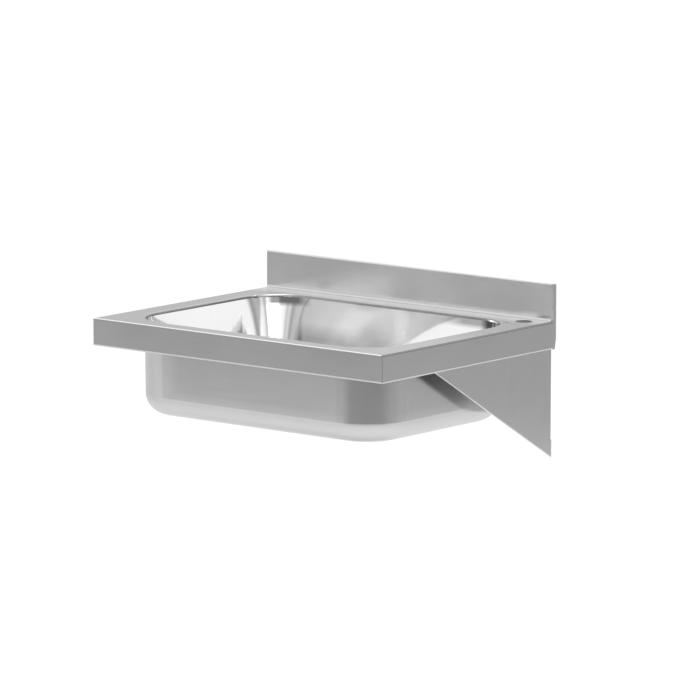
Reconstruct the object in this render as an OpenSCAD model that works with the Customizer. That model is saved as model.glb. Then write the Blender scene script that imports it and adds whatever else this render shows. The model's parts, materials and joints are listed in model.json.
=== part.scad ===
// Wall-hung stainless steel kitchen sink: a folded worktop with a splashback, one pressed bowl,
// two gusset brackets and a basket strainer waste. Millimetres, +Z up, the front faces -Y and the
// wall is the plane y = 0. The origin is the centre of the four wall fixings, on the wall plane.

/* [Worktop] */
// Width of the worktop from end to end
top_w = 600; // [560:5:700]
// Depth of the worktop from the wall to its front
top_d = 450; // [440:5:540]
// Height of the folded apron
apron_h = 45.5; // [38:0.5:60]
// Thickness of the worktop sheet
sheet_t = 1.2; // [1:0.1:1.5]
// Outer radius of the folds along the apron
fold_r = 3; // [2:0.1:4]
// Radius of the ground front corners, seen from above
corner_r = 1.5; // [0.8:0.1:2.5]
// Gap between the folded-in lip and the bracket beside it
lip_gap = 1; // [0.5:0.1:2]
// Height of the rail that stiffens the worktop's rear edge
rail_h = 14; // [10:1:20]

/* [Splashback] */
// Height of the splashback above the worktop
splash_h = 61; // [50:1:100]
// Thickness of the folded splashback
splash_t = 8; // [7:0.5:10]
// Depth of the lip that hangs down against the wall
splash_lip = 15; // [10:1:25]
// Outer radius of the splashback's folds
splash_fold_r = 2; // [1.6:0.1:3]
// Radius of the cove between the worktop and the splashback
cove_r = 4; // [2.5:0.5:6]
// Height of the slanted cut at the foot of an end cap
cap_cut_h = 17; // [8:1:25]
// Depth of the slanted cut at the foot of an end cap
cap_cut_d = 3; // [1:0.5:5]

/* [Bowl] */
// Strip of worktop between the front and the bowl wall
front_strip = 31.5; // [26:0.5:45]
// Strip of worktop between the wall and the bowl wall
rear_strip = 42.5; // [41:0.5:60]
// Strip of worktop between an end and the bowl wall
side_strip = 40; // [38:1:60]
// Height of the bowl under the worktop's upper face
bowl_h = 157; // [130:1:180]
// Outer radius of the bowl's upright corners
bowl_corner_r = 80; // [60:1:100]
// Outer radius between the bowl's walls and its floor
bowl_foot_r = 34; // [20:1:45]
// Lean of the bowl's walls, in degrees
bowl_draft = 0.6; // [0:0.1:2]
// Thickness of the bowl sheet
bowl_t = 1.2; // [0.8:0.1:1.5]
// Upper radius of the rim that rolls down into the bowl
rim_r = 3; // [2:0.1:4]
// Depth of the rolled rim, down to the weld with the bowl
rim_h = 5; // [4.5:0.5:8]
// Fall of the floor to the waste
dish_fall = 2.5; // [1:0.5:4]

/* [Holes in the worktop] */
// Radius of the tap hole
tap_hole_r = 14; // [11:0.5:17.5]
// Distance of the tap hole from the right end
tap_from_end = 37.5; // [36:0.5:40]
// Distance of the tap hole from the wall
tap_from_wall = 36; // [35:0.5:40]
// Radius of the chain stay hole
chain_hole_r = 3.5; // [2.5:0.5:4.5]
// Distance of the chain stay hole from the bowl's corner
chain_from_bowl = 10; // [9:0.5:14]

/* [Brackets] */
// Set-back of a bracket's outer face from the worktop's end
bracket_inset = 8; // [7:0.5:10]
// Thickness of the bracket plate
bracket_t = 2; // [1.5:0.1:3]
// Distance of a bracket's low tip under the worktop's upper face
bracket_drop = 225; // [205:5:280]
// Reach of a bracket from the wall
bracket_reach = 352; // [320:2:400]
// Depth of a bracket's nose under the worktop's upper face
bracket_nose = 20; // [15:1:30]
// Width of a bracket's flanges
flange_w = 25; // [23:1:27]
// Outer radius of a bracket's folds
bracket_fold_r = 3; // [3:0.5:5]
// Distance from the wall to a bracket's upper flange
flange_back = 70; // [62:1:90]
// Radius of a wall fixing hole
wall_hole_r = 4.5; // [3.5:0.5:5.5]
// Depth of the upper wall fixings under the worktop's upper face
wall_hole_high = 60; // [50:5:80]
// Height of the lower wall fixings over a bracket's tip
wall_hole_rise = 45; // [42:1:70]
// Distance from a bracket's tip up to its wall flange
flange_tip_gap = 30; // [20:1:34]

/* [Bracket fasteners] */
// Radius of the weld studs
stud_r = 3; // [2.5:0.5:4]
// Length of the weld studs
stud_len = 16; // [15:1:22]
// Distance of the rear studs from the wall
stud_rear = 110; // [100:5:140]
// Distance of the front studs from the wall
stud_front = 300; // [260:5:310]
// Play of a stud in its hole
stud_play = 0.5; // [0.3:0.1:0.8]
// Play between a thread and its nut
thread_play = 0.05; // [0.02:0.01:0.1]
// Width of a nut across its flats
nut_w = 10; // [10:1:13]
// Height of a nut
nut_h = 5; // [4:0.5:6]
// Radius of a washer
washer_r = 6; // [5.5:0.5:8]
// Thickness of a washer
washer_t = 1.6; // [1:0.2:2]
// Gap in a spring washer
spring_gap = 1; // [0.6:0.2:1.6]

/* [Earth point] */
// Distance of the earth stud from the left end
earth_from_end = 85; // [70:5:105]
// Distance of the earth stud from the wall
earth_from_wall = 27; // [25:1:30]
// Length of the earth stud
earth_stud_len = 14; // [12:1:16]

/* [Waste fitting] */
// Distance of the waste from the wall
waste_from_wall = 155; // [152:1:190]
// Radius of the waste flange
flange_r = 57; // [54:0.5:58]
// Inner radius of the strainer cup
cup_r = 40; // [38:0.5:41]
// Depth of the strainer cup under its flange
cup_h = 16.6; // [16:0.2:20]
// Thickness of the cup sheet
cup_t = 1.2; // [1:0.1:1.5]
// Radius of the valve seat in the cup's floor
seat_r = 20; // [18:0.5:21]
// Depth of the collar under the valve seat
collar_h = 8; // [7:0.5:10]
// Thickness of the gasket under the flange
gasket_t = 1.5; // [1:0.1:2]
// Thickness of the gasket on the body
body_gasket_t = 2; // [1.5:0.1:3]
// Radius of the body's clamping rim
body_rim_r = 53; // [52:0.5:56]
// Wall of the moulded body
body_t = 3; // [2.5:0.1:3.5]
// Radius of the outlet's thread
outlet_r = 23.9; // [23:0.1:24]
// Length of the outlet's thread
outlet_len = 16; // [14:1:30]

/* [Strainer basket] */
// Height of the basket
basket_h = 11; // [9:0.5:12]
// Radius of the basket's floor
basket_floor_r = 33; // [30:0.5:34]
// Thickness of the basket sheet
basket_t = 0.8; // [0.6:0.1:1]
// Radius of the holes in the basket
basket_hole_r = 1.8; // [1.2:0.1:2]
// Radius of the rubber seal
seal_r = 24; // [23:0.5:26]
// Thickness of the rubber seal
seal_t = 2.5; // [2:0.1:3]
// Radius of the post
post_r = 3; // [2.5:0.5:4]
// Radius of the knob
knob_r = 9; // [7:0.5:12]
// Height of the knob
knob_h = 7; // [5:0.5:9]

/* [Hidden] */
$fn = 96;
hull_fn = 32;
steel = "silver";
polished = "gainsboro";
zinc = "lightslategray";
moulding = "whitesmoke";
rubber = "dimgray";

// Reach of a cut past the face that it leaves
overrun = 1;
// Depth of the lower wall fixings under the worktop's upper face
wall_hole_low = bracket_drop - wall_hole_rise;
// Height of the worktop's upper face over the origin; all other heights count from that face
deck_z = (wall_hole_high + wall_hole_low) / 2;

// Worktop
end_x = top_w / 2;
lip_w = bracket_inset - lip_gap;
deck_rear = splash_t + cove_r;

// Bowl, about the middle of its mouth
bowl_hx = end_x - side_strip;
bowl_hy = (top_d - front_strip - rear_strip) / 2;
bowl_y = -rear_strip - bowl_hy;
bowl_in_hx = bowl_hx - bowl_t;
bowl_in_hy = bowl_hy - bowl_t;
bowl_in_corner = bowl_corner_r - bowl_t;
bowl_in_foot = bowl_foot_r - bowl_t;

// Holes in the worktop: the chain stay hole lies on the diagonal of the bowl's corner
tap_x = end_x - tap_from_end;
tap_y = -tap_from_wall;
chain_reach = (bowl_corner_r + chain_from_bowl) * cos(45);
chain_x = bowl_hx - bowl_corner_r + chain_reach;
chain_y = bowl_y + bowl_hy - bowl_corner_r + chain_reach;

// Brackets
bracket_x = end_x - bracket_inset;
bracket_top = -sheet_t;
flange_mid = bracket_x - (bracket_fold_r + flange_w) / 2;
fold_relief = 4;
// The rail under the worktop's rear edge ends at the brackets' webs
rail_hx = bracket_x - bracket_t - lip_gap;

// Fasteners
washer_play = 0.2;
washer_z = bracket_top - bracket_t - washer_t;
spring_z = washer_z - washer_t;
nut_z = spring_z - nut_h;
point_h = 0.8;

// Waste levels, from the bowl's floor down
recess_play = 1.5;
flange_sink = 0.1;
drain_y = -waste_from_wall;
floor_z = -bowl_h + bowl_t;
dish_z = floor_z - dish_fall;
recess_r = flange_r + recess_play;
recess_z = dish_z - gasket_t - cup_t - flange_sink;
under_z = recess_z - bowl_t;
flange_z = recess_z + gasket_t;
cup_floor_z = flange_z + cup_t - cup_h;
collar_z = cup_floor_z - collar_h;
hole_play = 2;
drain_hole_r = cup_r + cup_t + hole_play;
gasket_edge = 1;

// Spider that holds the waste screw
spoke_t = 2.4;
spoke_w = 6;
boss_r = 8;
spokes = 3;

// Moulded body
body_z = under_z - body_gasket_t;
body_clear = 4.8;
body_r = drain_hole_r + body_clear;
body_rim_h = 4;
body_floor_gap = 1.5;
body_floor_z = collar_z - body_floor_gap;
body_under_z = body_floor_z - body_t;
outlet_z = body_under_z - outlet_len;
outlet_in_r = outlet_r - body_t;
rib_t = 2;
ribs = 8;
hub_r = 7;
hub_h = 8;
hub_sink = 1;
hub_top_z = body_floor_z - hub_sink;
arm_h = 5;
insert_r = 5;

// Waste screw
screw_r = 3;
screw_head_r = 5.5;
screw_head_h = 2.6;
screw_slot_w = 1.4;
screw_slot_h = 1.3;
screw_top_z = collar_z + spoke_t;

// Strainer basket, closed: its seal rests on the cup's floor
basket_play = 0.6;
basket_wall_play = 2;
spacer_r = 8;
spacer_h = 2;
basket_z = cup_floor_z + seal_t + spacer_h;
post_foot_r = 6;
post_foot_h = 1.2;
knob_rise = 8.5;
knob_z = basket_z + knob_rise;
basket_lip_h = 1.2;
floor_hole_shares = [[0.38, 8], [0.59, 14], [0.82, 20]];
wall_holes = 28;
wall_hole_share = 0.45;

// Plans and sections

module round_rect(hx, hy, r) {
    square([2 * hx, 2 * (hy - r)], center = true);
    square([2 * (hx - r), 2 * hy], center = true);
    for (sx = [-1, 1], sy = [-1, 1])
        translate([sx * (hx - r), sy * (hy - r)])
            circle(r);
}

// Quarter of a folded sheet, in the quadrant where x and y are positive
module fold(r, t) {
    intersection() {
        difference() {
            circle(r);
            circle(r - t);
        }
        square(r);
    }
}

// A section drawn in y and z, drawn out along +X
module along_x(length) {
    rotate([90, 0, 90])
        linear_extrude(length)
            children();
}

// A section drawn in x and z, drawn out along -Y
module along_y(length) {
    rotate([90, 0, 0])
        linear_extrude(length)
            children();
}

// A section drawn in distance from the corner's centre and z, swept round a rounded rectangle
module around(hx, hy, r) {
    cx = hx - r;
    cy = hy - r;
    for (q = [0 : 3]) {
        sx = q == 0 || q == 3 ? 1 : -1;
        sy = q < 2 ? 1 : -1;
        translate([sx * cx, sy * cy, 0])
            rotate(90 * q)
                rotate_extrude(angle = 90)
                    children();
    }
    for (turn = [0, 180]) {
        rotate(turn)
            translate([cx, cy, 0])
                along_y(2 * cy)
                    children();
        rotate(turn + 90)
            translate([cy, cx, 0])
                along_y(2 * cx)
                    children();
    }
}

module ring(r_out, r_in, h) {
    difference() {
        cylinder(h = h, r = r_out);
        translate([0, 0, -overrun])
            cylinder(h = h + 2 * overrun, r = r_in);
    }
}

module hex_nut(bore_r) {
    difference() {
        cylinder(h = nut_h, r = nut_w / 2 / cos(30), $fn = 6);
        translate([0, 0, -overrun])
            cylinder(h = nut_h + 2 * overrun, r = bore_r);
    }
}

// Worktop

module tray_x_section(inset) {
    translate([0, -apron_h / 2])
        round_rect(end_x - inset, apron_h / 2 - inset, fold_r - inset);
}

module tray_y_section(inset, rear) {
    r = fold_r - inset;
    front = -top_d + inset;
    low = -apron_h + inset;
    translate([front, low + r])
        square([rear - front, apron_h - 2 * fold_r]);
    translate([front + r, low])
        square([rear - front - r, apron_h - 2 * inset]);
    for (z = [low + r, -fold_r])
        translate([front + r, z])
            circle(r);
}

module tray_block(inset, rear) {
    intersection() {
        translate([-end_x, 0, 0])
            along_x(top_w)
                tray_y_section(inset, rear);
        translate([0, rear, 0])
            along_y(top_d)
                tray_x_section(inset);
    }
}

module front_corners() {
    translate([0, -top_d, -apron_h - overrun])
        linear_extrude(apron_h + 2 * overrun)
            translate([0, top_d])
                round_rect(end_x, top_d, corner_r);
}

module lip_window() {
    translate([-end_x + lip_w, -top_d + lip_w, -apron_h - overrun])
        cube([top_w - 2 * lip_w, top_d, apron_h / 2]);
}

module cove_gap() {
    translate([-end_x + fold_r, -deck_rear, -fold_r])
        cube([top_w - 2 * fold_r, deck_rear, fold_r + overrun]);
}

module bowl_mouth() {
    translate([0, bowl_y, -fold_r])
        linear_extrude(fold_r + overrun)
            round_rect(bowl_in_hx + rim_r, bowl_in_hy + rim_r, bowl_in_corner + rim_r);
}

module deck_hole(x, y, r) {
    translate([x, y, -sheet_t - overrun])
        cylinder(h = sheet_t + 2 * overrun, r = r);
}

module rim_section() {
    translate([bowl_in_corner + rim_r, -rim_r])
        rotate(90)
            fold(rim_r, sheet_t);
    translate([bowl_in_corner, -rim_h])
        square([sheet_t, rim_h - rim_r]);
}

module splash_section() {
    top_z = splash_h - splash_fold_r;
    translate([-deck_rear, cove_r])
        rotate(-90)
            fold(cove_r + sheet_t, sheet_t);
    translate([-splash_t, cove_r])
        square([sheet_t, top_z - cove_r]);
    translate([-splash_t + splash_fold_r, top_z])
        rotate(90)
            fold(splash_fold_r, sheet_t);
    translate([-splash_t + splash_fold_r, splash_h - sheet_t])
        square([splash_t - 2 * splash_fold_r, sheet_t]);
    translate([-splash_fold_r, top_z])
        fold(splash_fold_r, sheet_t);
    translate([-sheet_t, splash_h - splash_lip])
        square([sheet_t, splash_lip - splash_fold_r]);
}

module worktop() {
    color(steel)
        translate([0, 0, deck_z]) {
            difference() {
                intersection() {
                    tray_block(0, -splash_t);
                    front_corners();
                }
                tray_block(sheet_t, 0);
                lip_window();
                cove_gap();
                bowl_mouth();
                deck_hole(tap_x, tap_y, tap_hole_r);
                deck_hole(chain_x, chain_y, chain_hole_r);
            }
            translate([0, bowl_y, 0])
                around(bowl_in_hx, bowl_in_hy, bowl_in_corner)
                    rim_section();
            translate([-end_x + sheet_t, 0, 0])
                along_x(top_w - 2 * sheet_t)
                    splash_section();
        }
}

// Splashback ends

module cap_section() {
    top_z = splash_h - splash_fold_r;
    polygon([
        [-splash_t, -apron_h],
        [-cap_cut_d, -apron_h],
        [0, -apron_h + cap_cut_h],
        [0, top_z],
        [-splash_t, top_z]
    ]);
    translate([-splash_t + splash_fold_r, 0])
        square([splash_t - 2 * splash_fold_r, splash_h]);
    for (y = [-splash_t + splash_fold_r, -splash_fold_r])
        translate([y, top_z])
            circle(splash_fold_r);
}

module splash_end() {
    translate([end_x - sheet_t, 0, deck_z])
        along_x(sheet_t)
            cap_section();
}

module splash_end_right() {
    color(steel)
        splash_end();
}

module splash_end_left() {
    color(steel)
        mirror([1, 0, 0])
            splash_end();
}

// A strip on edge, welded under the worktop where the cove begins
module rear_rail() {
    color(steel)
        translate([-rail_hx, -deck_rear - sheet_t, deck_z - sheet_t - rail_h])
            cube([2 * rail_hx, sheet_t, rail_h]);
}

// Bowl

// Distance from a wall's top to the centre of its foot radius, measured inwards
function foot_inset(foot, top_z, low_z) =
    (top_z - low_z - foot) * tan(bowl_draft) + foot / cos(bowl_draft);

// Right half of a bowl section: a leaning wall with a rounded foot
module pan_half_section(half, foot, top_z, low_z, lift) {
    foot_x = half - foot_inset(foot, top_z, low_z);
    foot_z = low_z + foot;
    polygon([
        [0, top_z + lift],
        [half + lift * tan(bowl_draft), top_z + lift],
        [foot_x + foot * cos(bowl_draft), foot_z - foot * sin(bowl_draft)],
        [foot_x, foot_z],
        [foot_x, low_z],
        [0, low_z]
    ]);
    intersection() {
        translate([foot_x, foot_z])
            circle(foot);
        translate([0, low_z])
            square([half, foot]);
    }
}

module pan_section(half, foot, top_z, low_z, lift) {
    pan_half_section(half, foot, top_z, low_z, lift);
    mirror([1, 0])
        pan_half_section(half, foot, top_z, low_z, lift);
}

module pan(hx, hy, corner, foot, top_z, low_z, lift) {
    cx = hx - corner;
    cy = hy - corner;
    for (sx = [-1, 1], sy = [-1, 1])
        translate([sx * cx, sy * cy, 0])
            rotate_extrude()
                pan_half_section(corner, foot, top_z, low_z, lift);
    translate([-cx, 0, 0])
        along_x(2 * cx)
            pan_section(hy, foot, top_z, low_z, lift);
    translate([0, cy, 0])
        along_y(2 * cy)
            pan_section(hx, foot, top_z, low_z, lift);
}

// The floor's fall from its edge to a disc round the waste
module dish(hx, hy, corner, inset, top_z, disc_r) {
    hull() {
        translate([0, 0, top_z])
            linear_extrude(bowl_t)
                round_rect(hx - inset, hy - inset, corner - inset, $fn = hull_fn);
        translate([0, drain_y - bowl_y, top_z - dish_fall])
            cylinder(h = bowl_t, r = disc_r, $fn = hull_fn);
    }
}

module bowl_outside() {
    inset = foot_inset(bowl_foot_r, -rim_h, -bowl_h);
    pan(bowl_hx, bowl_hy, bowl_corner_r, bowl_foot_r, -rim_h, -bowl_h, 0);
    dish(bowl_hx, bowl_hy, bowl_corner_r, inset, -bowl_h, recess_r + bowl_t);
    translate([0, drain_y - bowl_y, under_z])
        cylinder(h = bowl_t + dish_fall, r = recess_r + bowl_t);
}

module bowl_inside() {
    inset = foot_inset(bowl_in_foot, -rim_h, floor_z);
    pan(bowl_in_hx, bowl_in_hy, bowl_in_corner, bowl_in_foot, -rim_h, floor_z, overrun);
    dish(bowl_in_hx, bowl_in_hy, bowl_in_corner, inset, floor_z, recess_r);
    translate([0, drain_y - bowl_y, recess_z])
        cylinder(h = floor_z - recess_z + overrun, r = recess_r);
    translate([0, drain_y - bowl_y, under_z - overrun])
        cylinder(h = bowl_t + 2 * overrun, r = drain_hole_r);
}

module bowl() {
    color(polished)
        translate([0, bowl_y, deck_z])
            difference() {
                bowl_outside();
                bowl_inside();
            }
}

// Brackets

module bracket_outline() {
    polygon([
        [0, bracket_top],
        [0, -bracket_drop],
        [-bracket_reach, -bracket_nose],
        [-bracket_reach, bracket_top]
    ]);
}

// Angle section with its web's outer face on x = bracket_x and its flange's on y = 0
module bracket_angle(web) {
    translate([bracket_x - bracket_t, -web])
        square([bracket_t, web - bracket_fold_r]);
    translate([bracket_x - bracket_fold_r, -bracket_fold_r])
        fold(bracket_fold_r, bracket_t);
    translate([bracket_x - flange_w, -bracket_t])
        square([flange_w - bracket_fold_r, bracket_t]);
}

// The flanges stop short of each other and of the tip, where the web stays flat
module bracket_plate() {
    flange_low = -bracket_drop + flange_tip_gap;
    translate([0, 0, flange_low])
        linear_extrude(bracket_top - fold_relief - flange_low)
            bracket_angle(bracket_reach);
    translate([0, -flange_back, bracket_top])
        along_y(bracket_reach - flange_back)
            bracket_angle(bracket_drop / 2);
    translate([bracket_x - bracket_t, -flange_back + fold_relief, bracket_top - fold_relief])
        cube([bracket_t, flange_back - fold_relief, fold_relief]);
    translate([bracket_x - bracket_t, -bracket_reach, -bracket_drop])
        cube([bracket_t, bracket_reach, flange_tip_gap]);
}

module bracket() {
    difference() {
        intersection() {
            bracket_plate();
            along_x(end_x)
                bracket_outline();
        }
        for (y = [stud_rear, stud_front])
            translate([flange_mid, -y, bracket_top - bracket_t - overrun])
                cylinder(h = bracket_t + 2 * overrun, r = stud_r + stud_play);
        for (z = [wall_hole_high, wall_hole_low])
            translate([flange_mid, overrun, -z])
                rotate([90, 0, 0])
                    cylinder(h = bracket_t + 2 * overrun, r = wall_hole_r);
    }
}

module bracket_right() {
    color(steel)
        translate([0, 0, deck_z])
            bracket();
}

module bracket_left() {
    color(steel)
        translate([0, 0, deck_z])
            mirror([1, 0, 0])
                bracket();
}

// Bracket fasteners

module at_studs(z) {
    for (sx = [-1, 1], y = [stud_rear, stud_front])
        translate([sx * flange_mid, -y, deck_z + z])
            children();
}

module stud(length) {
    translate([0, 0, point_h])
        cylinder(h = length - point_h, r = stud_r);
    cylinder(h = point_h, r1 = stud_r - point_h, r2 = stud_r);
}

module deck_studs() {
    color(zinc)
        at_studs(-sheet_t - stud_len)
            stud(stud_len);
}

module bracket_washers() {
    color(zinc)
        at_studs(washer_z)
            ring(washer_r, stud_r + washer_play, washer_t);
}

module spring_washer() {
    difference() {
        ring(nut_w / 2, stud_r + washer_play, washer_t);
        translate([0, -spring_gap / 2, -overrun])
            cube([nut_w, spring_gap, washer_t + 2 * overrun]);
    }
}

module bracket_spring_washers() {
    color(zinc)
        at_studs(spring_z)
            spring_washer();
}

module bracket_nuts() {
    color(zinc)
        at_studs(nut_z)
            hex_nut(stud_r + thread_play);
}

// Earth point

module earth_stud() {
    color(zinc)
        translate([-end_x + earth_from_end, -earth_from_wall, deck_z - sheet_t - earth_stud_len])
            stud(earth_stud_len);
}

// Waste fitting

module at_drain(z) {
    translate([0, drain_y, deck_z + z])
        children();
}

module spokes_plan(reach, width) {
    for (k = [0 : spokes - 1])
        rotate(k * 360 / spokes)
            translate([0, -width / 2])
                square([reach, width]);
}

module waste_flange() {
    color(polished)
        at_drain(0) {
            translate([0, 0, flange_z])
                ring(flange_r, cup_r, cup_t);
            translate([0, 0, cup_floor_z - cup_t])
                ring(cup_r + cup_t, cup_r, cup_h);
            translate([0, 0, cup_floor_z - cup_t])
                ring(cup_r + cup_t, seat_r, cup_t);
            translate([0, 0, collar_z])
                ring(seat_r + cup_t, seat_r, collar_h);
            translate([0, 0, collar_z])
                difference() {
                    linear_extrude(spoke_t) {
                        circle(boss_r);
                        spokes_plan(seat_r + cup_t / 2, spoke_w);
                    }
                    translate([0, 0, -overrun])
                        cylinder(h = spoke_t + 2 * overrun, r = screw_r + washer_play);
                }
        }
}

module flange_gasket() {
    color(rubber)
        at_drain(recess_z)
            ring(flange_r - gasket_edge, drain_hole_r + gasket_edge, gasket_t);
}

module body_gasket() {
    color(rubber)
        at_drain(body_z)
            ring(body_rim_r - gasket_edge, drain_hole_r + gasket_edge, body_gasket_t);
}

module body_section() {
    in_r = body_r - body_t;
    polygon([
        [in_r, body_z],
        [body_rim_r, body_z],
        [body_rim_r, body_z - body_rim_h],
        [body_r, body_z - body_rim_h],
        [body_r, body_floor_z],
        [body_r - body_t, body_under_z],
        [outlet_r, body_under_z],
        [outlet_r, outlet_z],
        [outlet_in_r, outlet_z],
        [outlet_in_r, body_floor_z],
        [in_r, body_floor_z]
    ]);
}

module rib_section() {
    polygon([
        [body_r - rib_t, body_z - body_rim_h],
        [body_rim_r - rib_t, body_z - body_rim_h],
        [body_r, body_z - 3 * body_rim_h],
        [body_r - rib_t, body_z - 3 * body_rim_h]
    ]);
}

module waste_body() {
    color(moulding)
        at_drain(0)
            difference() {
                union() {
                    rotate_extrude()
                        body_section();
                    for (k = [0 : ribs - 1])
                        rotate(k * 360 / ribs)
                            translate([0, rib_t / 2, 0])
                                along_y(rib_t)
                                    rib_section();
                    translate([0, 0, hub_top_z - hub_h])
                        cylinder(h = hub_h, r = hub_r);
                    translate([0, 0, hub_top_z - hub_h])
                        linear_extrude(arm_h)
                            spokes_plan(outlet_in_r + body_t / 2, body_t);
                }
                translate([0, 0, hub_top_z - hub_h - overrun])
                    cylinder(h = hub_h + 2 * overrun, r = insert_r);
            }
}

module waste_insert() {
    color("goldenrod")
        at_drain(hub_top_z - hub_h)
            ring(insert_r, screw_r + thread_play, hub_h);
}

module waste_screw() {
    shank_h = screw_top_z - hub_top_z + hub_h - point_h;
    color(polished)
        at_drain(screw_top_z)
            difference() {
                union() {
                    cylinder(h = screw_head_h, r = screw_head_r);
                    translate([0, 0, -shank_h])
                        cylinder(h = shank_h, r = screw_r);
                }
                translate([-screw_head_r, -screw_slot_w / 2, screw_head_h - screw_slot_h])
                    cube([2 * screw_head_r, screw_slot_w, screw_slot_h + overrun]);
            }
}

// Strainer basket

module basket_section() {
    top_r = cup_r - basket_wall_play;
    polygon([
        [post_r + washer_play, 0],
        [basket_floor_r, 0],
        [top_r, basket_h - basket_lip_h],
        [cup_r - basket_play, basket_h - basket_lip_h],
        [cup_r - basket_play, basket_h],
        [top_r - basket_t, basket_h],
        [basket_floor_r - basket_t, basket_t],
        [post_r + washer_play, basket_t]
    ]);
}

module strainer_basket() {
    color(polished)
        at_drain(basket_z)
            difference() {
                rotate_extrude()
                    basket_section();
                for (row = floor_hole_shares, k = [0 : row[1] - 1])
                    rotate(k * 360 / row[1])
                        translate([row[0] * basket_floor_r, 0, -overrun])
                            cylinder(h = basket_t + 2 * overrun, r = basket_hole_r, $fn = 24);
                for (k = [0 : wall_holes - 1])
                    rotate(k * 360 / wall_holes)
                        translate([basket_floor_r - 2 * basket_t, 0, basket_h * wall_hole_share])
                            rotate([0, 90, 0])
                                cylinder(h = cup_r - basket_floor_r, r = basket_hole_r, $fn = 24);
            }
}

module basket_seal() {
    color(rubber)
        at_drain(cup_floor_z)
            ring(seal_r, post_r + washer_play, seal_t);
}

module knob_section() {
    edge_r = knob_h / 2;
    square([knob_r - edge_r, knob_h]);
    translate([knob_r - edge_r, edge_r])
        circle(edge_r);
}

module basket_post() {
    foot_z = cup_floor_z - post_foot_h;
    color(polished)
        at_drain(0) {
            translate([0, 0, foot_z])
                cylinder(h = post_foot_h, r = post_foot_r);
            translate([0, 0, foot_z])
                cylinder(h = knob_z - foot_z, r = post_r);
            translate([0, 0, cup_floor_z + seal_t])
                cylinder(h = spacer_h, r = spacer_r);
            translate([0, 0, knob_z])
                rotate_extrude()
                    knob_section();
        }
}

worktop();
splash_end_left();
splash_end_right();
rear_rail();
bowl();
bracket_left();
bracket_right();
deck_studs();
bracket_washers();
bracket_spring_washers();
bracket_nuts();
earth_stud();
waste_flange();
flange_gasket();
body_gasket();
waste_body();
waste_insert();
waste_screw();
strainer_basket();
basket_seal();
basket_post();
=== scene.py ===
import json
import math

import bpy
from mathutils import Matrix, Vector

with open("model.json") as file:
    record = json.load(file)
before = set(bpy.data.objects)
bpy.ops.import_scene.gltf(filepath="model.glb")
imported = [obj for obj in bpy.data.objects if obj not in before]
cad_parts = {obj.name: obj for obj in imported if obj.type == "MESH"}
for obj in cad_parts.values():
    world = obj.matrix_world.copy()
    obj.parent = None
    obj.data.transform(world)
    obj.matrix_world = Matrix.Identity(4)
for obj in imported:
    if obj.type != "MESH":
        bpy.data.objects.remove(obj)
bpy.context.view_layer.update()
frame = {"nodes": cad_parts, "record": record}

# Camera, from the fit of the photo's straight edges
CAMERA_PLACE = Vector((6.06696, -7.68552, 1.62776))
CAMERA_AZIMUTH = math.radians(38.86902)
CAMERA_ELEVATION = math.radians(9.20189)
CAMERA_ROLL = 0.0016253304
CAMERA_LENS = 309.42
CAMERA_SENSOR = 36.0
CAMERA_CLIP = (0.1, 200.0)

# Studio: azimuths count from the front (-Y) towards the right end (+X)
STUDIO_CENTRE = Vector((0.0, -0.22, 0.05))
FLOOR_Z = -0.75
FLOOR_HALF = 60.0
FLOOR_COLOUR = (0.8, 0.8, 0.8, 1.0)
FLOOR_GLOW_SEEN = 0.62
FLOOR_GLOW_MIRRORED = 0.35
WORLD_LIGHT = 0.5
BOUNCES = 16
CARD_DISTANCE = 2.1
CARD_STEP = 3.0

# Cards: softness of the sides, foot and top in degrees, then azimuth, foot, top and glow at each corner
CARDS = {
    "horizon": (5.0, 2.4, 6.0, (
        (-115, -8.0, 8.0, 0.9), (-80, -8.0, 8.0, 0.85), (-60, -8.0, 8.0, 0.7), (-53, -8.4, 8.0, 0.5),
        (-47, -9.2, 8.0, 0.46), (-43, -10.8, 8.0, 0.46), (-41, -11.8, 8.0, 0.46), (-36, -12.4, 8.0, 0.42),
        (-15, -13.2, 8.0, 0.4), (10, -14.5, 8.0, 0.37), (40, -16.5, 8.0, 0.34), (60, -16.5, 8.0, 0.34),
        (90, -15.0, 8.0, 0.38),
        (110, -13.8, 8.0, 0.43), (132, -13.6, 6.0, 0.48), (150, -13.6, 5.0, 0.48), (185, -14.0, 5.0, 0.6))),
    "stand": (24.0, 5.0, 8.0, ((-14, -19.0, 4.0, 0.27), (90, -19.0, 4.0, 0.27))),
    "rear": (6.0, 6.0, 6.0, (
        (-175, -2.0, 26.0, 0.95), (-150, -2.0, 26.0, 0.9), (-142, -2.0, 26.0, 0.7), (-132, -2.0, 26.0, 0.64),
        (-110, -2.0, 26.0, 0.64))),
}
CARD_ROWS = 28

# Softboxes: azimuth, elevation, distance, width, height, radiance
SOFTBOXES = {
    "key": (65.0, 52.0, 3.2, 2.6, 2.0, 1.5),
    "top": (40.0, 78.0, 2.4, 1.6, 1.2, 5.0),
}


def add_camera():
    data = bpy.data.cameras.new("photo_camera")
    data.lens = CAMERA_LENS
    data.sensor_width = CAMERA_SENSOR
    data.clip_start, data.clip_end = CAMERA_CLIP
    camera = bpy.data.objects.new("photo_camera", data)
    turn = Matrix.Rotation(CAMERA_AZIMUTH, 4, "Z")
    tilt = Matrix.Rotation(math.pi / 2 - CAMERA_ELEVATION, 4, "X")
    roll = Matrix.Rotation(CAMERA_ROLL, 4, "Z")
    camera.matrix_world = Matrix.Translation(CAMERA_PLACE) @ turn @ tilt @ roll
    bpy.context.scene.collection.objects.link(camera)
    bpy.context.scene.camera = camera


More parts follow.
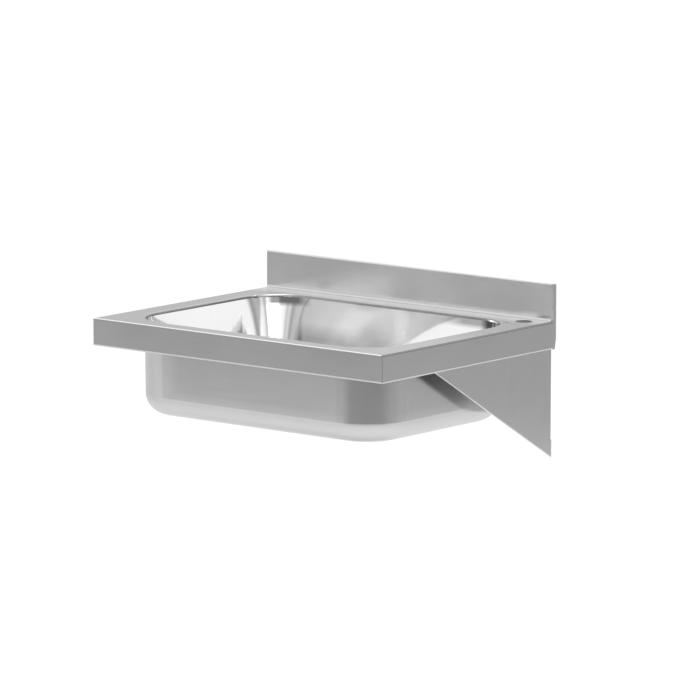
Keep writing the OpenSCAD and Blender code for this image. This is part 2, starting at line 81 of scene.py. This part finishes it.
class Tree:
    """Adds and links shader nodes. An input that is a plain number or tuple is set on the socket."""

    def __init__(self, holder):
        holder.use_nodes = True
        self.tree = holder.node_tree
        self.tree.nodes.clear()

    def add(self, kind, inputs=None, **settings):
        node = self.tree.nodes.new("ShaderNode" + kind)
        for key, value in settings.items():
            setattr(node, key, value)
        for key, value in (inputs or {}).items():
            self.feed(node.inputs[key], value)
        return node

    def feed(self, socket, value):
        if isinstance(value, bpy.types.NodeSocket):
            self.tree.links.new(value, socket)
        else:
            socket.default_value = value

    def math(self, operation, *values):
        node = self.add("Math", operation=operation)
        for socket, value in zip(node.inputs, values):
            self.feed(socket, value)
        return node.outputs[0]

    def vector(self, operation, *values):
        node = self.add("VectorMath", operation=operation)
        for socket, value in zip(node.inputs, values):
            self.feed(socket, value)
        return node.outputs["Value" if operation == "DOT_PRODUCT" else "Vector"]

    def spread(self, value, low, high, to_low, to_high):
        node = self.add("MapRange", {
            "Value": value, "From Min": low, "From Max": high, "To Min": to_low, "To Max": to_high,
        })
        return node.outputs["Result"]

    def mix(self, factor, first, second):
        """Blend of two numbers."""
        node = self.add("Mix", data_type="FLOAT")
        for socket, value in zip(node.inputs, (factor, None, first, second)):
            if value is not None:
                self.feed(socket, value)
        return node.outputs[0]

    def blend(self, factor, first, second):
        """Blend of two colours."""
        node = self.add("Mix", data_type="RGBA")
        self.feed(node.inputs[0], factor)
        self.feed(node.inputs[6], first)
        self.feed(node.inputs[7], second)
        return node.outputs[2]

    def tint(self, factor, dark, light):
        """Colour that runs from dark to light as the factor goes from 0 to 1."""
        ramp = self.add("ValToRGB", {"Fac": factor})
        ramp.color_ramp.elements[0].color = (*dark, 1.0)
        ramp.color_ramp.elements[1].color = (*light, 1.0)
        return ramp.outputs["Color"]

    def parts(self, vector):
        split = self.add("SeparateXYZ", {"Vector": vector})
        return split.outputs["X"], split.outputs["Y"], split.outputs["Z"]

    def noise(self, place, scale, stretch=(1.0, 1.0, 1.0), detail=3.0, roughness=0.5):
        stretched = self.vector("MULTIPLY", place, stretch)
        node = self.add("TexNoise", {
            "Vector": stretched, "Scale": scale, "Detail": detail, "Roughness": roughness,
        })
        return node.outputs["Fac"]

    def bump(self, height, strength, distance, before=None):
        node = self.add("Bump", {"Height": height, "Strength": strength, "Distance": distance})
        if before is not None:
            self.feed(node.inputs["Normal"], before)
        return node.outputs["Normal"]

    def finish(self, shader, kind="OutputMaterial"):
        output = self.add(kind)
        self.feed(output.inputs["Surface"], shader.outputs[0])

    def seen_rays(self):
        rays = self.add("LightPath")
        mirrored = self.math("MAXIMUM", rays.outputs["Is Glossy Ray"], rays.outputs["Is Transmission Ray"])
        return rays.outputs["Is Camera Ray"], mirrored


def add_world():
    world = bpy.data.worlds.new("studio")
    bpy.context.scene.world = world
    tree = Tree(world)
    seen = tree.math("MAXIMUM", *tree.seen_rays())
    strength = tree.mix(seen, WORLD_LIGHT, 1.0)
    background = tree.add("Background", {"Color": (1.0, 1.0, 1.0, 1.0), "Strength": strength})
    tree.finish(background, "OutputWorld")


def stage_object(name, mesh, material):
    mesh.materials.append(material)
    staged = bpy.data.objects.new(name, mesh)
    bpy.context.scene.collection.objects.link(staged)
    return staged


def add_floor():
    """Pale floor that keeps its shadows, and is clear when seen from below."""
    material = bpy.data.materials.new("studio_floor")
    tree = Tree(material)
    seen, mirrored = tree.seen_rays()
    mirrored_glow = tree.math("MULTIPLY", mirrored, FLOOR_GLOW_MIRRORED)
    glow = tree.math("MULTIPLY_ADD", seen, FLOOR_GLOW_SEEN, mirrored_glow)
    diffuse = tree.add("BsdfDiffuse", {"Color": FLOOR_COLOUR})
    emission = tree.add("Emission", {"Strength": glow})
    lit = tree.add("AddShader")
    tree.feed(lit.inputs[0], diffuse.outputs[0])
    tree.feed(lit.inputs[1], emission.outputs[0])
    clear = tree.add("BsdfTransparent")
    sided = tree.add("MixShader", {"Fac": tree.add("NewGeometry").outputs["Backfacing"]})
    tree.feed(sided.inputs[1], lit.outputs[0])
    tree.feed(sided.inputs[2], clear.outputs[0])
    tree.finish(sided)
    mesh = bpy.data.meshes.new("studio_floor")
    corners = [(x * FLOOR_HALF, y * FLOOR_HALF, FLOOR_Z) for x, y in ((-1, -1), (1, -1), (1, 1), (-1, 1))]
    mesh.from_pydata(corners, [], [(0, 1, 2, 3)])
    stage_object("studio_floor", mesh, material)


def direction(azimuth, elevation):
    az, el = math.radians(azimuth), math.radians(elevation)
    return Vector((math.sin(az) * math.cos(el), -math.cos(az) * math.cos(el), math.sin(el)))


def between(value, points, item):
    for first, second in zip(points, points[1:]):
        if value <= second[0]:
            share = (value - first[0]) / (second[0] - first[0])
            return first[item] + (second[item] - first[item]) * share
    return points[-1][item]


def soft_step(value):
    value = min(max(value, 0.0), 1.0)
    return value * value * (3.0 - 2.0 * value)


def add_cards():
    """Grey studio cards round the sink, which only its reflections show."""
    material = bpy.data.materials.new("studio_card")
    tree = Tree(material)
    cover = tree.add("Attribute", attribute_name="cover").outputs["Fac"]
    glow = tree.add("Attribute", attribute_name="glow").outputs["Fac"]
    mixed = tree.add("MixShader", {"Fac": cover})
    tree.feed(mixed.inputs[1], tree.add("BsdfTransparent").outputs[0])
    tree.feed(mixed.inputs[2], tree.add("Emission", {"Strength": glow}).outputs[0])
    tree.finish(mixed)
    for name, (soft_side, soft_foot, soft_top, corners) in CARDS.items():
        start, end = corners[0][0], corners[-1][0]
        columns = round((end - start) / CARD_STEP) + 1
        points, covers, levels = [], [], []
        for i in range(columns):
            azimuth = start + (end - start) * i / (columns - 1)
            foot, top, glow = (between(azimuth, corners, item) for item in (1, 2, 3))
            side = soft_step(min(azimuth - start, end - azimuth) / soft_side)
            for j in range(CARD_ROWS):
                elevation = foot + (top - foot) * j / (CARD_ROWS - 1)
                points.append(STUDIO_CENTRE + CARD_DISTANCE * direction(azimuth, elevation))
                upright = soft_step((elevation - foot) / soft_foot) * soft_step((top - elevation) / soft_top)
                covers.append(side * upright)
                levels.append(glow)
        faces = [
            (a, a + CARD_ROWS, a + CARD_ROWS + 1, a + 1)
            for a in (i * CARD_ROWS + j for i in range(columns - 1) for j in range(CARD_ROWS - 1))
        ]
        mesh = bpy.data.meshes.new("card_" + name)
        mesh.from_pydata(points, [], faces)
        for attribute, values in (("cover", covers), ("glow", levels)):
            mesh.attributes.new(attribute, "FLOAT", "POINT").data.foreach_set("value", values)
        card = stage_object("card_" + name, mesh, material)
        card.visible_camera = False
        card.visible_diffuse = False
        card.visible_shadow = False


def add_softboxes():
    for name, (azimuth, elevation, distance, width, height, radiance) in SOFTBOXES.items():
        data = bpy.data.lights.new("softbox_" + name, "AREA")
        data.shape = "RECTANGLE"
        data.size, data.size_y = width, height
        data.energy = radiance * math.pi * width * height
        lamp = bpy.data.objects.new("softbox_" + name, data)
        away = direction(azimuth, elevation)
        turn = away.to_track_quat("Z", "Y").to_matrix().to_4x4()
        lamp.matrix_world = Matrix.Translation(STUDIO_CENTRE + distance * away) @ turn
        lamp.visible_camera = False
        bpy.context.scene.collection.objects.link(lamp)


# Materials: noise ranges that are spread over a tone or a roughness
NOISE_NARROW = (0.35, 0.65)
NOISE_WIDE = (0.3, 0.7)

# Steel: colours, roughness, and the scales, strengths and heights of its brush marks, smudges and dents
STEEL_DARK = (0.6, 0.6, 0.6)
STEEL_LIGHT = (0.645, 0.645, 0.645)
SATIN_ROUGH = (0.2, 0.25)
POLISHED_ROUGH = (0.1, 0.16)
GRAIN_LONG = 9.0
GRAIN_FINE = 1400.0
GRAIN_DEEP = 0.06
GRAIN_FAINT = 0.02
GRAIN_HEIGHT = 0.0002
END_FACING = 0.7
SMUDGE_SCALE = 7.0
DENT_SCALE = 11.0
DENT_STRETCH = (1.0, 1.0, 1.6)
DENT_HEIGHT = 0.004
BOWL_DENTS = 0.02
POLISHED_DENTS = 0.03

# Bowl: its middle, and the colours and roughness of its inner side, whose colours are painted lighter than
# the outer steel as a painted reflection
BOWL_CENTRE = (0.0, -0.2305, 0.05)
BOWL_DARK = (0.88, 0.88, 0.88)
BOWL_LIGHT = (0.93, 0.93, 0.93)
BOWL_ROUGH = (0.12, 0.15)

# The pressed walls' slight bulges: distance from the rear left corner (left wall under 0), lean and tone,
# the tone being painted reflection and shade
LEANS = (
    (-0.32, 0.1, 0.95), (-0.295, 0.2, 0.95), (-0.25, 0.8, 1.0), (-0.09, 0.8, 1.0), (-0.07, 0.6, 1.0),
    (-0.057, 0.42, 0.36), (-0.047, 0.42, 0.5), (-0.032, 0.42, 0.4), (-0.024, 0.42, 0.2), (-0.018, 0.42, 1.0),
    (0.022, 0.4, 1.0), (0.03, 0.3, 0.62), (0.036, 0.3, 0.75), (0.043, 0.3, 0.42), (0.055, 0.2, 0.6),
    (0.08, 0.06, 0.66), (0.14, 0.07, 0.74), (0.187, 0.1, 0.9), (0.277, 0.07, 1.0), (0.345, 0.07, 1.0),
    (0.385, 0.2, 1.0), (0.42, 0.35, 1.0), (0.45, 0.3, 1.0), (0.48, 0.1, 1.0), (0.6, 0.03, 1.0),
)

# The distance is x + y + LEAN_START at the height LEAN_LEVEL, and the bands narrow towards the floor
LEAN_START = 0.3
LEAN_LEVEL = 0.105
LEAN_FAN = 7.0
LEAN_MAX = 0.8
LEAN_FACING = (0.7, -0.7, 0.0)
FACING_RANGE = (0.2, 0.6)
WALL_MAX_UP = 0.5

# Painted shade on the bowl's inner side: a patch and a painted shadow under the rear rim, and darkening in
# its right corner, low at the rear, and at the front
HIGH_RANGE = (0.099, 0.107)
PATCH_MIDDLE = 0.022
PATCH_HALF = 0.06
PATCH_SHADE = 0.16
SHADOW_RANGE = (0.34, 0.4)
SHADOW_TONE = 0.45
CORNER_RANGE = (0.435, 0.45)
CORNER_SHADE = 0.14
LOW_REAR_MIDDLE = 0.11
LOW_REAR_HALF = 0.075
LOW_REAR_RANGE = (0.05, 0.075)
LOW_REAR_SHADE = 0.6
FRONT_FACING = (0.3, 0.8)
FRONT_RANGE = (0.035, 0.062)
FRONT_SHADE = 0.72

# Worktop's folds, cove, rear strip and rim: places, upward parts of the normal, and painted shades, darker
# or lighter for their reflections
FOLD_Y = -0.4468
FOLD_LOWER = (0.05, 0.62)
FOLD_LOWER_SHADE = 0.35
FOLD_UPPER = (0.62, 0.99)
FOLD_UPPER_SHADE = 0.95
RIGHT_X = 0.2966
RIGHT_BAND = (0.05, 0.99)
RIGHT_SHADE = 0.26
COVE_Y = -0.03
COVE_BAND = (0.29, 0.95)
COVE_SHADE = 0.68
STRIP_RANGE = (-0.06, -0.03)
STRIP_FACING = 0.95
STRIP_SHADE = 0.96
RIM_HALF_X = 0.2622
RIM_HALF_Y = 0.1895
RIM_TOP = 0.1192
RIM_SHADE = 0.35

# Bowl's outside: heights near its foot, places along X near its left corner, and parts of the normal, where
# it is painted lighter as a reflection
FOOT_RANGE = (-0.012, 0.012)
SIDE_RANGE = (-0.185, -0.145)
FLAT_RANGE = (0.05, 0.3)
WALL_RANGE = (-0.15, 0.0)
FOOT_SHADE = 0.76

# Brackets' slanted edge, painted light as a highlight
SLANT_FOOT = (0.0, 0.0, -0.105)
SLANT_NORMAL = (0.0, 0.503, 0.864)
SLANT_WIDTH = 0.0016
SLANT_SHADE = 0.95

# Zinc, brass, rubber and plastic: each noise is its scale, stretch, detail and roughness
EVEN = (1.0, 1.0, 1.0)
TURNED = (60.0, 60.0, 5200.0)
PLAIN_LOOKS = {
    "fastener_steel": {
        "clouds": (160.0, EVEN, 4.0, 0.6), "spread": NOISE_NARROW,
        "dark": (0.56, 0.58, 0.62), "light": (0.66, 0.65, 0.6), "metallic": 1.0, "rough": (0.22, 0.36),
        "skin": (2600.0, EVEN, 2.0, 0.5), "strength": 0.2, "height": 0.0001,
    },
    "insert_brass": {
        "clouds": (1.0, TURNED, 2.0, 0.5), "spread": NOISE_WIDE,
        "dark": (0.62, 0.45, 0.2), "light": (0.76, 0.59, 0.3), "metallic": 1.0, "rough": (0.2, 0.34),
        "skin": (1.0, TURNED, 2.0, 0.5), "strength": 0.25, "height": 0.0001,
    },
    "gasket_rubber": {
        "clouds": (90.0, EVEN, 3.0, 0.5), "spread": NOISE_WIDE,
        "dark": (0.035, 0.035, 0.037), "light": (0.06, 0.06, 0.062), "metallic": 0.0, "rough": (0.55, 0.7),
        "skin": (3000.0, EVEN, 3.0, 0.6), "strength": 0.35, "height": 0.0002,
    },
    "white_moulding": {
        "clouds": (40.0, EVEN, 3.0, 0.5), "spread": NOISE_WIDE,
        "dark": (0.76, 0.76, 0.74), "light": (0.82, 0.82, 0.8), "metallic": 0.0, "rough": (0.34, 0.46),
        "skin": (2400.0, EVEN, 3.0, 0.6), "strength": 0.2, "height": 0.0002,
    },
}


def grain_of(tree, place, normal):
    """Brush marks: along X, and along Z on faces that face an end."""
    end_face = tree.math("GREATER_THAN", tree.math("ABSOLUTE", tree.parts(normal)[0]), END_FACING)
    along = tree.noise(place, 1.0, (GRAIN_LONG, GRAIN_FINE, GRAIN_FINE), detail=2.0, roughness=0.6)
    upright = tree.noise(place, 1.0, (GRAIN_FINE, GRAIN_FINE, GRAIN_LONG), detail=2.0, roughness=0.6)
    return tree.mix(end_face, along, upright)


def wall_ramp(tree, along, item, highest):
    """Grey ramp along the pressed walls, of their lean or of their painted reflection tone."""
    ramp = tree.add("ValToRGB", {"Fac": along})
    ramp.color_ramp.interpolation = "EASE"
    start, end = LEANS[0][0], LEANS[-1][0]
    stops = ramp.color_ramp.elements
    for row in LEANS[1:-1]:
        stops.new((row[0] - start) / (end - start))
    for stop, row in zip(stops, LEANS):
        level = row[item] / highest
        stop.color = (level, level, level, 1.0)
    return ramp.outputs["Color"]


def window(tree, value, middle, half):
    """1 near the middle, and soft down to 0 at the half width."""
    away = tree.math("ABSOLUTE", tree.math("SUBTRACT", value, middle))
    return tree.spread(away, half / 2, half, 1.0, 0.0)


def pressed_walls(tree, place, normal):
    """Lean of the bowl's pressed walls and their painted reflection and shade tone, in bands that narrow
    towards the floor.
    """
    x, y, z = tree.parts(place)
    run = tree.math("ADD", tree.math("ADD", x, y), LEAN_START)
    fan = tree.math("MULTIPLY_ADD", z, -LEAN_FAN, 1.0 + LEAN_FAN * LEAN_LEVEL)
    along = tree.spread(tree.math("MULTIPLY", run, fan), LEANS[0][0], LEANS[-1][0], 0.0, 1.0)
    lean = tree.math("MULTIPLY", wall_ramp(tree, along, 1, LEAN_MAX), LEAN_MAX)
    # Painted shade: a patch and a shadow under the rear rim, the dark right corner, low at the rear, and low
    # at the front
    high = tree.spread(z, *HIGH_RANGE, 0.0, 1.0)
    patch = tree.math("MULTIPLY", high, window(tree, run, PATCH_MIDDLE, PATCH_HALF))
    tone = tree.mix(patch, wall_ramp(tree, along, 2, 1.0), PATCH_SHADE)
    shadow = tree.math("MULTIPLY", high, tree.spread(run, *SHADOW_RANGE, 0.0, 1.0))
    tone = tree.mix(shadow, tone, SHADOW_TONE)
    tone = tree.math("MULTIPLY", tone, tree.spread(run, *CORNER_RANGE, 1.0, CORNER_SHADE))
    low = tree.spread(z, *LOW_REAR_RANGE, 1.0, 0.0)
    low_rear_shade = tree.math("MULTIPLY", low, window(tree, run, LOW_REAR_MIDDLE, LOW_REAR_HALF))
    tone = tree.math("MULTIPLY", tone, tree.mix(low_rear_shade, 1.0, LOW_REAR_SHADE))
    front = tree.spread(tree.parts(normal)[1], *FRONT_FACING, 0.0, 1.0)
    return lean, tree.mix(front, tone, tree.spread(z, *FRONT_RANGE, FRONT_SHADE, 1.0))


def outward_part(tree, place, normal):
    """Over 0 where the face looks away from the bowl's middle."""
    return tree.vector("DOT_PRODUCT", normal, tree.vector("SUBTRACT", place, BOWL_CENTRE))


def upward_band(tree, normal, low, high):
    """1 where the upward part of the normal lies between low and high."""
    return tree.math("COMPARE", tree.parts(normal)[2], (low + high) / 2, (high - low) / 2)


def make_steel(name, rough_range, dents=0.0, grain_depth=GRAIN_DEEP, polish=None, lines=()):
    """Brushed steel. polish is the roughness of a bowl's inner side, which is also painted lighter with
    painted reflection and shade; lines are bands and their painted shades.
    """
    material = bpy.data.materials.new(name)
    tree = Tree(material)
    place = tree.add("TexCoord").outputs["Object"]
    normal = tree.add("NewGeometry").outputs["Normal"]
    grain = grain_of(tree, place, normal)
    smudge = tree.noise(place, SMUDGE_SCALE, detail=4.0, roughness=0.6)
    marks = tree.math("MULTIPLY_ADD", smudge, 0.5, tree.math("MULTIPLY", grain, 0.5))
    tone = tree.spread(marks, *NOISE_NARROW, 0.0, 1.0)
    colour = tree.tint(tone, STEEL_DARK, STEEL_LIGHT)
    rough = tree.spread(marks, *NOISE_WIDE, *rough_range)
    shape = normal
    if polish is not None:
        inside = tree.math("LESS_THAN", outward_part(tree, place, normal), 0.0)
        rough = tree.mix(inside, rough, tree.spread(smudge, *NOISE_WIDE, *polish))
        lean, shade = pressed_walls(tree, place, normal)
        upright = tree.math("LESS_THAN", tree.math("ABSOLUTE", tree.parts(normal)[2]), WALL_MAX_UP)
        shade = tree.mix(upright, 1.0, shade)
        # The inner side is painted lighter, and carries the walls' painted reflection and shade tones
        painted_inside = tree.vector("MULTIPLY", tree.tint(tone, BOWL_DARK, BOWL_LIGHT), shade)
        colour = tree.blend(inside, colour, painted_inside)
        facing = tree.spread(tree.vector("DOT_PRODUCT", normal, LEAN_FACING), *FACING_RANGE, 0.0, inside)
        upwards = tree.add("CombineXYZ", {"Z": tree.math("MULTIPLY", facing, lean)}).outputs[0]
        shape = tree.vector("NORMALIZE", tree.vector("ADD", normal, upwards))
    for line, shade in lines:
        colour = tree.blend(line(tree, place, normal), colour, (shade, shade, shade, 1.0))
    relief = tree.bump(grain, grain_depth, GRAIN_HEIGHT, shape)
    if dents:
        pressed = tree.noise(place, DENT_SCALE, DENT_STRETCH, detail=2.0, roughness=0.45)
        relief = tree.bump(pressed, dents, DENT_HEIGHT, relief)
    shader = tree.add("BsdfPrincipled", {
        "Base Color": colour, "Metallic": 1.0, "Roughness": rough, "Normal": relief,
    })
    tree.finish(shader)
    return material


def lower_fold(tree, place, normal):
    """Lower part of the fold along the worktop's front edge, painted dark as a shade."""
    front = tree.math("LESS_THAN", tree.parts(place)[1], FOLD_Y)
    return tree.math("MULTIPLY", front, upward_band(tree, normal, *FOLD_LOWER))


def upper_fold(tree, place, normal):
    """Upper part of the fold along the worktop's front edge, painted light as a highlight."""
    front = tree.math("LESS_THAN", tree.parts(place)[1], FOLD_Y)
    return tree.math("MULTIPLY", front, upward_band(tree, normal, *FOLD_UPPER))


def right_fold(tree, place, normal):
    """Fold along the worktop's right edge, painted dark as a shade."""
    right = tree.math("GREATER_THAN", tree.parts(place)[0], RIGHT_X)
    return tree.math("MULTIPLY", right, upward_band(tree, normal, *RIGHT_BAND))


def rear_strip(tree, place, normal):
    """Worktop in front of the splashback, painted brighter than the rest as a reflection."""
    rear = tree.spread(tree.parts(place)[1], *STRIP_RANGE, 0.0, 1.0)
    return tree.math("MULTIPLY", rear, tree.math("GREATER_THAN", tree.parts(normal)[2], STRIP_FACING))


def cove_band(tree, place, normal):
    """Cove between the worktop and its splashback, painted slightly lighter as a reflection."""
    rear = tree.math("GREATER_THAN", tree.parts(place)[1], COVE_Y)
    return tree.math("MULTIPLY", rear, upward_band(tree, normal, *COVE_BAND))


def rim_band(tree, place, normal):
    """Lower part of the roll from the worktop into the bowl, painted dark as a shade."""
    x, y, z = tree.parts(place)
    across = tree.math("LESS_THAN", tree.math("ABSOLUTE", x), RIM_HALF_X)
    along = tree.math("COMPARE", y, BOWL_CENTRE[1], RIM_HALF_Y)
    low = tree.math("LESS_THAN", z, RIM_TOP)
    return tree.math("MULTIPLY", tree.math("MULTIPLY", across, along), low)


def foot_band(tree, place, normal):
    """Outside of the bowl's flat walls just over the rounded foot and beside the left corner, painted
    lighter as a reflection.
    """
    facing = tree.parts(normal)
    spot = tree.parts(place)
    turned = tree.math("ABSOLUTE", tree.math("MULTIPLY", facing[0], facing[1]))
    flat = tree.spread(turned, *FLAT_RANGE, 1.0, 0.0)
    wall = tree.spread(facing[2], *WALL_RANGE, 0.0, 1.0)
    low = tree.spread(spot[2], *FOOT_RANGE, 1.0, 0.0)
    side = tree.spread(spot[0], *SIDE_RANGE, 1.0, 0.0)
    band = tree.math("MULTIPLY", tree.math("MULTIPLY", flat, wall), tree.math("MAXIMUM", low, side))
    return tree.math("MULTIPLY", band, tree.math("GREATER_THAN", outward_part(tree, place, normal), 0.0))


def slanted_edge(tree, place, normal):
    """Edge along a bracket's slant, painted light as a highlight."""
    inwards = tree.vector("DOT_PRODUCT", tree.vector("SUBTRACT", place, SLANT_FOOT), SLANT_NORMAL)
    return tree.math("LESS_THAN", inwards, SLANT_WIDTH)


def make_plain(name, look):
    """Material whose colour and roughness follow one noise, and its skin another."""
    material = bpy.data.materials.new(name)
    tree = Tree(material)
    place = tree.add("TexCoord").outputs["Object"]
    clouds = tree.noise(place, *look["clouds"])
    skin = tree.noise(place, *look["skin"])
    colour = tree.tint(tree.spread(clouds, *look["spread"], 0.0, 1.0), look["dark"], look["light"])
    rough = tree.spread(clouds, *NOISE_WIDE, *look["rough"])
    shader = tree.add("BsdfPrincipled", {
        "Base Color": colour, "Metallic": look["metallic"], "Roughness": rough,
        "Normal": tree.bump(skin, look["strength"], look["height"]),
    })
    tree.finish(shader)
    return material


def dress_nodes():
    slots = {name: make_plain(name, look) for name, look in PLAIN_LOOKS.items()}
    slots["satin_steel"] = make_steel("satin_steel", SATIN_ROUGH)
    slots["polished_steel"] = make_steel("polished_steel", POLISHED_ROUGH, POLISHED_DENTS, GRAIN_FAINT)
    slanted = make_steel("bracket_steel", SATIN_ROUGH, lines=((slanted_edge, SLANT_SHADE),))
    own = {
        "bowl": make_steel(
            "bowl_steel", SATIN_ROUGH, BOWL_DENTS, GRAIN_FAINT, BOWL_ROUGH, ((foot_band, FOOT_SHADE),)),
        "worktop": make_steel("worktop_steel", SATIN_ROUGH, lines=(
            (rear_strip, STRIP_SHADE), (cove_band, COVE_SHADE), (lower_fold, FOLD_LOWER_SHADE),
            (upper_fold, FOLD_UPPER_SHADE), (right_fold, RIGHT_SHADE), (rim_band, RIM_SHADE))),
        "bracket_left": slanted,
        "bracket_right": slanted,
    }
    for row in frame["record"]["subparts"]:
        node = row["node"]
        mesh = frame["nodes"][node].data
        mesh.materials.clear()
        mesh.materials.append(own.get(node) or slots[row["material_slot"]])


add_camera()
add_world()
add_floor()
add_cards()
add_softboxes()
dress_nodes()

bpy.context.scene.view_settings.view_transform = "Standard"
bpy.context.scene.cycles.glossy_bounces = BOUNCES
bpy.context.scene.cycles.max_bounces = BOUNCES
